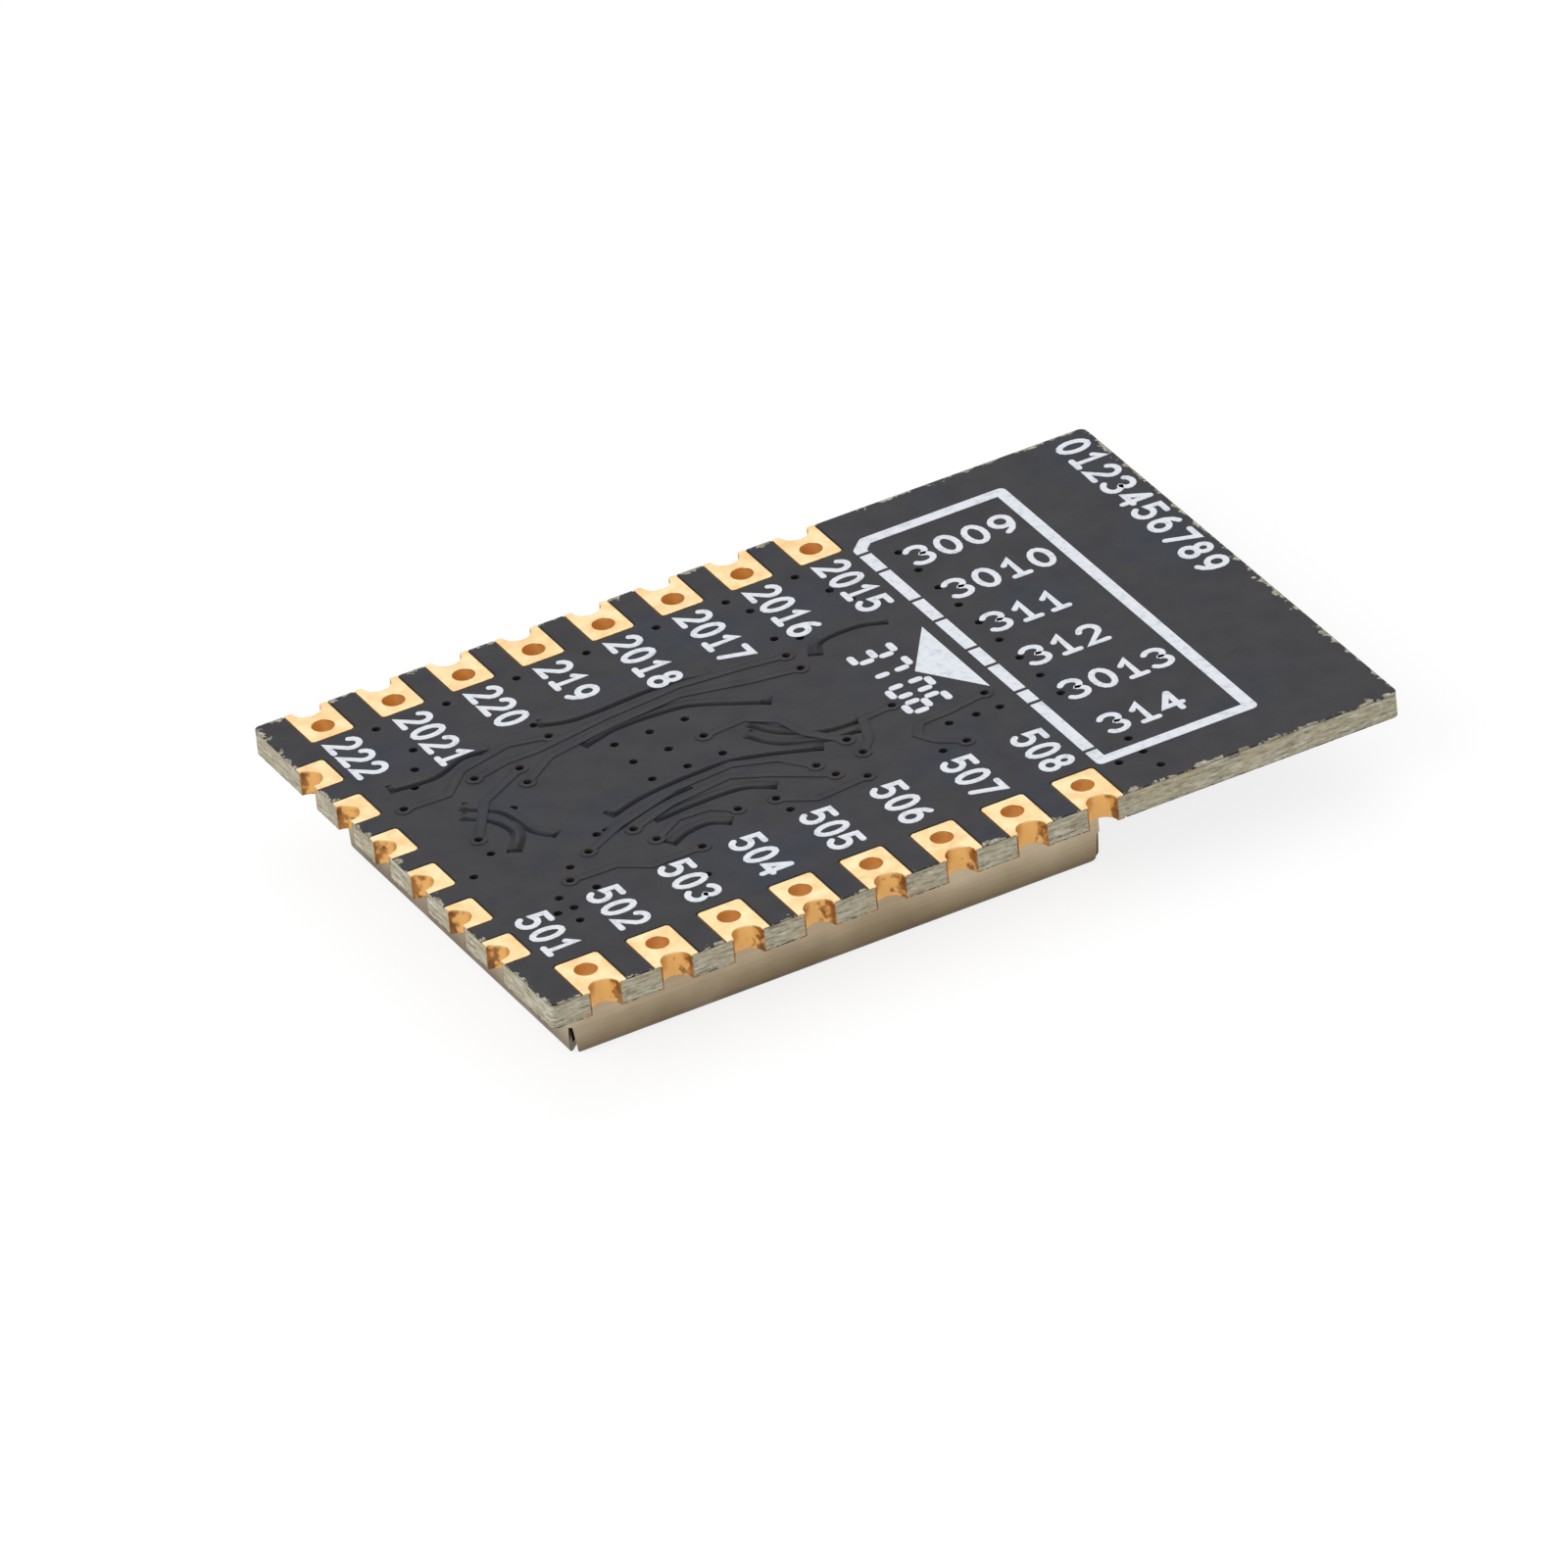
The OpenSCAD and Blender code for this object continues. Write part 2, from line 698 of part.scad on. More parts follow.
// Section of the memory chip's moulding, its long sides sloped from the middle line
module flash_section()
    polygon([
        [flash_draft - flash_w / 2, 0], [flash_w / 2 - flash_draft, 0],
        [flash_w / 2, flash_h / 2], [flash_w / 2 - flash_draft, flash_h],
        [flash_draft - flash_w / 2, flash_h], [-flash_w / 2, flash_h / 2]
    ]);

module flash_body() {
    color([0.12, 0.12, 0.13])
        mounted(flash)
            translate([0, 0, copper_t + flash_gap])
                rotate([90, 0, 90]) linear_extrude(flash_l, center = true) flash_section();
}

// Gull-wing legs, from the moulding's middle line down to the lands
module flash_legs() {
    side = flash_w / 2;
    toe = flash_span / 2;
    root = flash_gap + flash_h / 2;
    knee = side + (toe - leg_foot - side) / 2;
    color([0.8, 0.78, 0.74])
        mounted(flash)
            translate([0, 0, copper_t])
                flash_leg_places()
                    rotate([90, 0, 90])
                        linear_extrude(leg_w, center = true)
                            difference() {
                                polyline(
                                    [
                                        [side - leg_t, root], [knee, root],
                                        [toe - leg_foot, leg_t / 2], [toe - leg_t / 2, leg_t / 2]
                                    ],
                                    leg_t
                                );
                                translate([0, flash_gap]) flash_section();
                            }
}

module crystal_case() {
    color([0.78, 0.75, 0.68])
        mounted(crystal)
            translate([0, 0, copper_t])
                linear_extrude(crystal_h)
                    difference() {
                        square([crystal_l, crystal_w], center = true);
                        corners(crystal_l, crystal_w) circle(crystal_notch_r);
                    }
}

module crystal_lid() {
    color([0.85, 0.85, 0.85])
        mounted(crystal)
            translate([0, 0, copper_t + crystal_h])
                linear_extrude(crystal_lid_t)
                    rounded(
                        crystal_l - 2 * crystal_ledge,
                        crystal_w - 2 * crystal_ledge,
                        crystal_notch_r
                    );
}

// Body of a small part between its end caps
module chip_body(h)
    translate([0, 0, copper_t + cap_proud])
        linear_extrude(h - 2 * cap_proud)
            square([chip_l - 2 * cap_l, chip_w - 2 * cap_proud], center = true);

module chip_caps(h)
    for (s = [-1, 1])
        translate([s * (chip_l - cap_l) / 2, 0, copper_t])
            linear_extrude(h) square([cap_l, chip_w], center = true);

module capacitor_bodies() {
    color([0.62, 0.48, 0.32]) mounted_each(capacitors) chip_body(chip_h);
}

module resistor_bodies() {
    color([0.1, 0.1, 0.1]) mounted_each(resistors) chip_body(resistor_h);
}

module coil_bodies() {
    color([0.45, 0.52, 0.56]) mounted_each(coils) chip_body(chip_h);
}

module chip_end_caps() {
    color([0.8, 0.8, 0.8]) {
        mounted_each(concat(capacitors, coils)) chip_caps(chip_h);
        mounted_each(resistors) chip_caps(resistor_h);
    }
}

// Solder fillets from the lands up the end caps
module chip_solder() {
    color([0.75, 0.75, 0.76])
        mounted_each(concat(capacitors, resistors, coils))
            for (turn = [0, 180])
                rotate(turn)
                    translate([chip_l / 2, 0, copper_t])
                        rotate([90, 0, 0])
                            linear_extrude(chip_w, center = true) fillet_profile(chip_fillet);
}

// Breaks in the frame's first line, by their distance from its middle
frame_breaks = [-5.8, -3, -2.3, -0.8, 0.2, 1.9, 3.1, 4.85, 5.85];

// Printed frame round the pin list, its first line broken and one corner cut
module printed_frame() {
    x0 = can_end + frame_from_can;
    x1 = x0 + frame_l;
    y0 = frame_near;
    y1 = board_w - frame_far;
    mid = (y0 + y1) / 2;
    slant = ink_w;
    color([0.9, 0.92, 0.95])
        translate([-board_l / 2, -board_w / 2, mask_top])
            linear_extrude(ink_t)
                difference() {
                    polyline(
                        [[x0, y1 - slant], [x0, y0], [x1, y0], [x1, y1], [x0 + slant, y1], [x0, y1 - slant]],
                        ink_w
                    );
                    for (b = frame_breaks)
                        translate([x0, mid + b]) square([2 * ink_w, frame_break], center = true);
                }
}

// Printed arrow that points from the frame to the main chip
module printed_arrow() {
    base = can_end + frame_from_can - ink_w / 2 - arrow_gap;
    color([0.9, 0.92, 0.95])
        at([base, board_w / 2 + 0.22], mask_top)
            linear_extrude(ink_t)
                polygon([[0, -arrow_w / 2], [0, arrow_w / 2], [-arrow_l, 0]]);
}

laminate();
solder_mask_back();
solder_mask_front();
pads_near_row();
pads_far_row();
pads_end_row();
via_barrels();
back_tracks();
antenna_track();
component_lands();
ground_ring();
shield_can();
shield_solder();
soc_body();
soc_lead_frame();
flash_body();
flash_legs();
crystal_case();
crystal_lid();
capacitor_bodies();
resistor_bodies();
coil_bodies();
chip_end_caps();
chip_solder();
printed_frame();
printed_arrow();
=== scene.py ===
import math

import bpy
from mathutils import Matrix, Vector


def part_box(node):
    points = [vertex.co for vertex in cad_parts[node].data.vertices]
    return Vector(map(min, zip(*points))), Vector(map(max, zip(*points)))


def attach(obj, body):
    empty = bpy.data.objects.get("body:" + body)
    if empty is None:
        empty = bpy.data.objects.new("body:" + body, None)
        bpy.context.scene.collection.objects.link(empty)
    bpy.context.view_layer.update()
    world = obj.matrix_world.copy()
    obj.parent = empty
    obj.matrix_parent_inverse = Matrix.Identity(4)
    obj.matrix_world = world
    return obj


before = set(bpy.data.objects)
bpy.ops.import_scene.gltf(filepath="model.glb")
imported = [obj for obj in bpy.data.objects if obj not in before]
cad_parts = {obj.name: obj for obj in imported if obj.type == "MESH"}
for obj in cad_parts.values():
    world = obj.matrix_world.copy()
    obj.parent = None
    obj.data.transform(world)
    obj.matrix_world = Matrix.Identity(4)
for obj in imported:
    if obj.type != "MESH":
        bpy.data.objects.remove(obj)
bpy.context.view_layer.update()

# Lengths are in millimetres, in the part's frame, and MM turns them into metres. Where a
# length is already in metres, its comment says so.
MM = 0.001
PRINT_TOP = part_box("printed_frame")[1].z / MM
MASK_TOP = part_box("printed_frame")[0].z / MM
PAD_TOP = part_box("pads_near_row")[1].z / MM
BOARD_LOW, BOARD_HIGH = (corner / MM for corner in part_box("laminate"))


# Places of the sockets on a colour Mix node, which repeats their names for other types.
MIX_FACTOR, MIX_FIRST, MIX_SECOND, MIX_RESULT = 0, 6, 7, 2


def linear(*srgb):
    """A shader colour from red, green and blue between 0 and 255 as a screen shows them."""
    parts = [c / 255 for c in srgb]
    return [c / 12.92 if c <= 0.04045 else ((c + 0.055) / 1.055) ** 2.4 for c in parts] + [1]


class Finish:
    """A procedural material: its methods add nodes, and those that make a value return it."""

    def __init__(self, name, roughness=0.5, metallic=0.0, specular=0.5):
        self.material = bpy.data.materials.new(name)
        self.material.use_nodes = True
        self.tree = self.material.node_tree
        self.bsdf = self.tree.nodes["Principled BSDF"]
        self.bsdf.inputs["Roughness"].default_value = roughness
        self.bsdf.inputs["Metallic"].default_value = metallic
        self.bsdf.inputs["Specular IOR Level"].default_value = specular

    def add(self, kind, settings=(), **inputs):
        node = self.tree.nodes.new("ShaderNode" + kind)
        for key, value in dict(settings).items():
            setattr(node, key, value)
        for key, value in inputs.items():
            self.plug(node.inputs[key], value)
        return node

    def plug(self, socket, value):
        if isinstance(value, bpy.types.NodeSocket):
            self.tree.links.new(value, socket)
        else:
            socket.default_value = value

    def place(self, stretch=(1, 1, 1)):
        """Place on the part in millimetres, divided by how far the pattern is stretched."""
        coords = self.add("TexCoord").outputs["Object"]
        scale = [1 / (MM * s) for s in stretch]
        return self.add("Mapping", Vector=coords, Scale=scale).outputs["Vector"]

    def noise(self, size, detail=3.0, rough=0.5, stretch=(1, 1, 1)):
        """Noise whose blobs are about size millimetres across."""
        node = self.add(
            "TexNoise", Vector=self.place(stretch), Scale=1 / size, Detail=detail, Roughness=rough
        )
        return node.outputs["Fac"]

    def ramp(self, factor, *stops):
        """Colour that runs through stops of (place from 0 to 1, colour)."""
        node = self.add("ValToRGB", Fac=factor)
        elements = node.color_ramp.elements
        while len(elements) < len(stops):
            elements.new(0.5)
        for element, (place, colour) in zip(elements, stops):
            element.position = place
            element.color = colour
        return node.outputs["Color"]

    def span(self, value, low, high, from_low=0.3, from_high=0.7):
        """A number moved from one range to another."""
        node = self.add("MapRange", Value=value)
        for key, number in zip(
            ("From Min", "From Max", "To Min", "To Max"), (from_low, from_high, low, high)
        ):
            node.inputs[key].default_value = number
        return node.outputs["Result"]

    def blend(self, factor, first, second, how="MIX"):
        """Two colours mixed, or joined in another way, by a factor from 0 to 1."""
        node = self.add("Mix", {"data_type": "RGBA", "blend_type": how})
        self.plug(node.inputs[MIX_FACTOR], factor)
        self.plug(node.inputs[MIX_FIRST], first)
        self.plug(node.inputs[MIX_SECOND], second)
        return node.outputs[MIX_RESULT]

    def calc(self, how, first, second=0.0):
        """A sum, product or other result of one or two numbers."""
        node = self.add("Math", {"operation": how})
        self.plug(node.inputs[0], first)
        self.plug(node.inputs[1], second)
        return node.outputs[0]

    def axis(self, name):
        """Place along one axis of the part, in millimetres."""
        return self.add("SeparateXYZ", Vector=self.place()).outputs[name]

    def inset(self):
        """Distance in from the board's nearest edge."""
        from_x = self.calc("SUBTRACT", BOARD_HIGH.x, self.calc("ABSOLUTE", self.axis("X")))
        from_y = self.calc("SUBTRACT", BOARD_HIGH.y, self.calc("ABSOLUTE", self.axis("Y")))
        return self.calc("MINIMUM", from_x, from_y)

    def colour(self, value):
        self.plug(self.bsdf.inputs["Base Color"], value)

    def roughness(self, value):
        self.plug(self.bsdf.inputs["Roughness"], value)

    def bump(self, height, depth, edge=0.0):
        """Relief from a height between 0 and 1, depth millimetres deep, on edges of a radius."""
        node = self.add("Bump", Height=height, Distance=depth * MM)
        if edge:
            self.plug(node.inputs["Normal"], self.add("Bevel", Radius=edge * MM).outputs["Normal"])
        self.tree.links.new(node.outputs["Normal"], self.bsdf.inputs["Normal"])


def black_mask():
    """Black solder mask, even and satin, with bluish clouds and its edge chipped by the router."""
    f = Finish("black_mask", specular=0.26)
    clouds = f.ramp(
        f.noise(3.2, 2),
        (0.36, linear(32, 32, 35)),
        (0.52, linear(30, 30, 34)),
        (0.6, linear(27, 30, 40)),
        (0.68, linear(24, 30, 44)),
    )
    grain = f.noise(0.12, 2)
    black = f.blend(f.span(grain, 0, 0.35), clouds, linear(41, 40, 45))
    chipped = f.span(f.calc("SUBTRACT", f.noise(0.3, 4, 0.65), f.inset()), 0, 1, 0.46, 0.49)
    glass = f.ramp(f.noise(0.16, 3), (0.35, linear(126, 122, 104)), (0.65, linear(190, 185, 166)))
    f.colour(f.blend(chipped, black, glass))
    f.roughness(f.span(f.noise(0.8, 3), 0.42, 0.54))
    relief = f.calc("ADD", f.noise(0.35, 2), f.calc("MULTIPLY", grain, 0.3))
    f.bump(relief, 0.004, edge=0.07)
    return f.material


def gold_finish():
    """Immersion gold over plated copper, with painted light on the holes' walls as a warmer, less
    metallic gold, and painted shade in dark brown on the notches' sides by the board's edge.
    """
    f = Finish("gold_finish", metallic=1)
    tone = f.ramp(
        f.noise(0.6, 3),
        (0.35, linear(232, 194, 140)),
        (0.5, linear(240, 207, 156)),
        (0.65, linear(245, 217, 172)),
    )
    below = f.span(f.axis("Z"), 1, 0, PAD_TOP - 0.07, PAD_TOP - 0.03)
    # Painted shade: dark brown on the notches' sides where they meet the board's edge.
    near_edge = f.span(f.calc("ADD", f.inset(), f.noise(0.2, 2)), 1, 0, 0.62, 0.78)
    notch_painted_shade = f.ramp(f.noise(0.25, 3), (0.35, linear(122, 78, 34)), (0.65, linear(176, 122, 60)))
    # Painted light: the holes' walls get a warmer gold, less metallic, so that they look lit.
    tone_and_painted_lit_holes = f.blend(below, tone, linear(232, 176, 100))
    f.colour(f.blend(f.calc("MULTIPLY", below, near_edge), tone_and_painted_lit_holes, notch_painted_shade))
    f.plug(f.bsdf.inputs["Metallic"], f.span(below, 1, 0.55, 0, 1))
    f.roughness(f.span(f.noise(0.15, 3), 0.3, 0.44))
    f.bump(f.noise(0.05, 3), 0.0025, edge=0.03)
    return f.material


def bare_copper():
    """Copper under the mask, dulled by the oxide of the process."""
    f = Finish("bare_copper", metallic=1)
    f.colour(f.ramp(f.noise(0.3, 3), (0.35, linear(96, 60, 42)), (0.65, linear(150, 98, 70))))
    f.roughness(f.span(f.noise(0.1, 2), 0.4, 0.6))
    f.bump(f.noise(0.04, 2), 0.002)
    return f.material


def via_wall():
    """Copper of the vias, nearly black with oxide and mask that ran in."""
    f = Finish("via_wall", specular=0.2)
    f.colour(f.ramp(f.noise(0.1, 3), (0.35, linear(20, 18, 19)), (0.65, linear(44, 36, 34))))
    f.roughness(f.span(f.noise(0.1, 2), 0.6, 0.8))
    f.bump(f.noise(0.04, 2), 0.002)
    return f.material


def fibre_glass():
    """Routed edge of glass cloth in resin: pale torn yarns with dark greenish gaps."""
    f = Finish("fibre_glass", specular=0.4)
    layers = f.noise(0.42, 4, 0.65, (1.2, 1.2, 0.2))
    yarns = f.noise(0.16, 3, 0.6, (1, 1, 0.6))
    mixed = f.calc("ADD", f.calc("MULTIPLY", layers, 0.7), f.calc("MULTIPLY", yarns, 0.3))
    tone = f.ramp(
        mixed,
        (0.36, linear(96, 92, 74)),
        (0.43, linear(148, 144, 124)),
        (0.5, linear(180, 175, 154)),
        (0.57, linear(202, 198, 180)),
        (0.66, linear(228, 225, 212)),
    )
    warm = f.blend(f.span(f.noise(0.9, 2), 0, 0.5), tone, linear(188, 170, 132))
    covered = f.span(f.axis("Z"), 0, 1, MASK_TOP - 0.045, MASK_TOP - 0.035)
    f.colour(f.blend(covered, warm, linear(92, 70, 46)))
    f.roughness(f.span(yarns, 0.45, 0.75))
    f.bump(mixed, 0.09)
    return f.material


def can_sheet():
    """Nickel silver sheet with faint rolling lines and warm tarnish, darker towards the lid with
    painted shade: the floor's contact shadow that the walls reflect.
    """
    f = Finish("can_sheet", metallic=1)
    tarnish = f.ramp(
        f.noise(2.6, 3),
        (0.35, linear(176, 160, 136)),
        (0.5, linear(190, 174, 150)),
        (0.68, linear(206, 192, 170)),
    )
    lines = f.noise(0.5, 3, 0.6, (9, 9, 0.12))
    sheet = f.blend(f.span(lines, 0, 0.25), tarnish, linear(150, 134, 112))
    height = f.axis("Z")
    # Painted shade: the walls darken towards the lid, where they reflect the floor's contact
    # shadow.
    dark = f.ramp(
        f.span(height, 0, 1, 0, 1.4),
        (0.02, linear(120, 112, 100)),
        (0.2, linear(176, 170, 158)),
        (0.75, linear(248, 246, 240)),
    )
    f.colour(f.blend(1.0, sheet, dark, "MULTIPLY"))
    f.roughness(f.span(f.noise(0.6, 3), 0.34, 0.5))
    relief = f.calc("ADD", lines, f.calc("MULTIPLY", f.noise(0.06, 2), 0.4))
    f.bump(relief, 0.003)
    return f.material


def white_print():
    """White marking ink, a little uneven in its cover."""
    f = Finish("white_print", specular=0.3)
    cover = f.ramp(
        f.noise(0.18, 3),
        (0.3, linear(206, 211, 220)),
        (0.45, linear(226, 230, 238)),
        (0.7, linear(234, 237, 243)),
    )
    f.colour(cover)
    f.roughness(f.span(f.noise(0.1, 2), 0.5, 0.7))
    f.bump(f.noise(0.09, 2), 0.003)
    return f.material


def soldered():
    """Reflowed solder: bright, smooth, with a fine frosting."""
    f = Finish("soldered", metallic=1)
    f.colour(f.ramp(f.noise(0.3, 3), (0.3, linear(176, 177, 180)), (0.7, linear(212, 212, 212))))
    f.roughness(f.span(f.noise(0.12, 3), 0.2, 0.4))
    f.bump(f.noise(0.08, 3), 0.004)
    return f.material


def tinned():
    """Matt tin plating on leads and end caps."""
    f = Finish("tinned", metallic=1)
    f.colour(f.ramp(f.noise(0.2, 3), (0.3, linear(182, 181, 178)), (0.7, linear(208, 207, 203))))
    f.roughness(f.span(f.noise(0.08, 3), 0.35, 0.55))
    f.bump(f.noise(0.03, 2), 0.002)
    return f.material


def moulded_chip():
    """Black epoxy moulding with the fine sandy face that the mould leaves."""
    f = Finish("moulded_chip", specular=0.35)
    f.colour(f.ramp(f.noise(0.07, 4), (0.3, linear(24, 24, 25)), (0.7, linear(44, 44, 46))))
    f.roughness(f.span(f.noise(0.3, 3), 0.55, 0.75))
    f.bump(f.noise(0.04, 4, 0.7), 0.006)
    return f.material


def ceramic(name, dark, light, rough=0.5):
    """Fired ceramic with a speckled, slightly glossy skin."""
    f = Finish(name, specular=0.45)
    f.colour(f.ramp(f.noise(0.06, 4, 0.65), (0.32, linear(*dark)), (0.68, linear(*light))))
    f.roughness(f.span(f.noise(0.15, 3), rough - 0.1, rough + 0.1))
    f.bump(f.noise(0.05, 3), 0.003)
    return f.material


def dress_frame():
    """Gives every CAD node its finish."""
    gold, mask, tin, epoxy = gold_finish(), black_mask(), tinned(), moulded_chip()
    copper, solder, ink = bare_copper(), soldered(), white_print()
    finishes = {
        "laminate": fibre_glass(),
        "solder_mask_back": mask,
        "solder_mask_front": mask,
        "pads_near_row": gold,
        "pads_far_row": gold,
        "pads_end_row": gold,
        "component_lands": gold,
        "ground_ring": gold,
        "via_barrels": via_wall(),
        "back_tracks": copper,
        "antenna_track": copper,
        "shield_can": can_sheet(),
        "shield_solder": solder,
        "chip_solder": solder,
        "soc_body": epoxy,
        "flash_body": epoxy,
        "soc_lead_frame": tin,
        "flash_legs": tin,
        "chip_end_caps": tin,
        "crystal_lid": tin,
        "crystal_case": ceramic("crystal_ceramic", (176, 168, 150), (204, 198, 182)),
        "capacitor_bodies": ceramic("capacitor_ceramic", (134, 102, 68), (164, 130, 92), 0.4),
        "resistor_bodies": ceramic("resistor_coat", (22, 22, 24), (40, 40, 43), 0.35),
        "coil_bodies": ceramic("coil_ceramic", (104, 122, 132), (136, 152, 160), 0.45),
        "printed_frame": ink,
        "printed_arrow": ink,
    }
    for name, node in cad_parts.items():
        node.data.materials.clear()
        node.data.materials.append(finishes[name])
    return finishes


# Marks are drawn on the solder side as lines of ink. A place on the board is x from the
# pad end and y from the near long edge.
ARC_STEP = 24  # degrees between points of an arc
TOUCHING = 1e-6  # a path whose ends lie closer than this is a closed one
SHARPEST = 0.8  # least squared sum of two normals, so that a sharp corner stays short
INK_SLOPE = 0.3  # how far ink's sides lean in, as a share of its height
INK_STEP, INK_LEVELS = 0.001, 4  # step between the tops of lines, and how many tops


def board(x, y):
    return Vector((x + BOARD_LOW.x, y + BOARD_LOW.y))


def arc(cx, cy, rx, ry, start, end):
    """Points on an ellipse between two angles in degrees."""
    steps = max(3, round(abs(end - start) / ARC_STEP))
    angles = [math.radians(start + (end - start) * i / steps) for i in range(steps + 1)]
    return [(cx + rx * math.cos(a), cy + ry * math.sin(a)) for a in angles]


def loop(cx, cy, rx, ry):
    """A whole ellipse, closed on the very point it starts from."""
    points = arc(cx, cy, rx, ry, 0, 360)
    return points[:-1] + points[:1]


def turned(strokes):
    """Strokes of a glyph turned half round in its box."""
    return [[(1 - x, 1 - y) for x, y in s] for s in strokes]


SIX = [arc(0.8, 0.36, 0.8, 0.64, 105, 180), loop(0.5, 0.31, 0.5, 0.31)]
GLYPHS = {
    "0": [loop(0.5, 0.5, 0.5, 0.5)],
    "1": [[(0.15, 0.76), (0.55, 1), (0.55, 0)], [(0.12, 0), (0.98, 0)]],
    "2": [arc(0.5, 0.7, 0.5, 0.3, 165, -35) + [(0, 0), (1, 0)]],
    "3": [arc(0.42, 0.755, 0.5, 0.245, 155, -90) + arc(0.42, 0.265, 0.56, 0.265, 80, -150)],
    "4": [[(0.74, 0), (0.74, 1)], [(0.7, 1), (0, 0.3), (1, 0.3)]],
    "5": [[(0.92, 1), (0.1, 1), (0.04, 0.56)] + arc(0.45, 0.31, 0.54, 0.31, 110, -150)],
    "6": SIX,
    "7": [[(0, 1), (1, 1), (0.35, 0)]],
    "8": [loop(0.5, 0.765, 0.4, 0.235), loop(0.5, 0.265, 0.5, 0.265)],
    "9": turned(SIX),
}
SEGMENTS = {
    "top": [(0.25, 1), (0.75, 1)],
    "upper_right": [(1, 0.84), (1, 0.66)],
    "lower_right": [(1, 0.34), (1, 0.16)],
    "bottom": [(0.25, 0), (0.75, 0)],
    "lower_left": [(0, 0.16), (0, 0.34)],
    "upper_left": [(0, 0.66), (0, 0.84)],
    "middle": [(0.25, 0.5), (0.75, 0.5)],
}
SEGMENT_DIGITS = {
    "3": ("top", "upper_right", "middle", "lower_right", "bottom"),
    "0": ("top", "upper_right", "lower_right", "bottom", "lower_left", "upper_left"),
    "7": ("top", "upper_right", "lower_right"),
    "6": ("top", "upper_left", "middle", "lower_left", "lower_right", "bottom"),
}


def sides(path, half, closed):
    """The points of a path moved to its right and to its left by half its width."""
    right, left = [], []
    last = len(path) - 1
    for i, point in enumerate(path):
        before = path[i - 1] if i or closed else None
        after = path[(i + 1) % len(path)] if i < last or closed else None
        normals = []
        for a, b in ((before, point), (point, after)):
            if a is not None and b is not None:
                way = (b - a).normalized()
                normals.append(Vector((-way.y, way.x)))
        both = sum(normals, Vector((0, 0)))
        offset = both * (half * len(normals) / max(both.length_squared, SHARPEST))
        right.append(point - offset)
        left.append(point + offset)
    return right, left


def cap(centre, start, steps=6):
    """Points of the half circle that runs anticlockwise from start, without its ends."""
    radius = start - centre
    turns = [Matrix.Rotation(math.pi * i / steps, 2) for i in range(1, steps)]
    return [centre + turn @ radius for turn in turns]


def ink_line(path, half, slope, low, high):
    """Vertices and faces of a raised line of ink with sloping sides and round ends."""
    closed = (path[0] - path[-1]).length < TOUCHING
    if closed:
        path = path[:-1]
    rings = []
    for width in (half, half - slope):
        right, left = sides(path, width, closed)
        if closed:
            rings.append((right, left))
        else:
            end = cap(path[-1], right[-1])
            start = cap(path[0], left[0])
            rings.append((right + end + left[::-1] + start,))
    levels = (low, high)
    verts = [(*p, z) for ring, z in zip(rings, levels) for side in ring for p in side]
    count = len(verts) // 2
    n = len(path)
    if closed:
        outer, inner = list(range(n)), list(range(n, 2 * n))
        flat = [(i, (i + 1) % n, n + (i + 1) % n, n + i) for i in range(n)]
        walls = [(outer, 1), (inner, -1)]
    else:
        left_at = [count - 1 - (count - 2 * n) // 2 - i for i in range(n)]
        flat = [(i, i + 1, left_at[i + 1], left_at[i]) for i in range(n - 1)]
        flat.append(tuple(range(n - 1, left_at[n - 1] + 1)))
        flat.append(tuple(range(left_at[0], count)) + (0,))
        walls = [(list(range(count)), 1)]
    faces = [tuple(count + v for v in f) for f in flat] + [f[::-1] for f in flat]
    for ring, way in walls:
        for a, b in zip(ring, ring[1:] + ring[:1]):
            face = (a, b, count + b, count + a)
            faces.append(face if way > 0 else face[::-1])
    return verts, faces


class Ink:
    """One printed piece, gathered line by line."""

    def __init__(self):
        self.verts, self.faces, self.lines = [], [], 0

    def line(self, path, half):
        # Lines drawn in turn end a step apart, so that where they cross their tops differ.
        high = PRINT_TOP - INK_STEP * (self.lines % INK_LEVELS)
        verts, faces = ink_line(path, half, INK_SLOPE * (high - MASK_TOP), MASK_TOP, high)
        base = len(self.verts)
        self.verts += verts
        self.faces += [tuple(base + v for v in face) for face in faces]
        self.lines += 1

    def text(self, strokes, origin, along, up, size, half):
        """A glyph's strokes in a box of size (width, height) from origin."""
        for stroke in strokes:
            path = [origin + along * (x * size[0]) + up * (y * size[1]) for x, y in stroke]
            self.line(path, half)

    def number(self, digits, origin, along, up, size, half, advance):
        for i, digit in enumerate(digits):
            self.text(GLYPHS[digit], origin + along * (i * advance), along, up, size, half)

    def piece(self, name, material):
        mesh = bpy.data.meshes.new(name)
        mesh.from_pydata([[c * MM for c in v] for v in self.verts], [], self.faces)
        mesh.materials.append(material)
        return add_piece(name, mesh)


def add_piece(name, mesh):
    piece = bpy.data.objects.new(name, mesh)
    bpy.context.scene.collection.objects.link(piece)
    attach(piece, "root")
    return piece


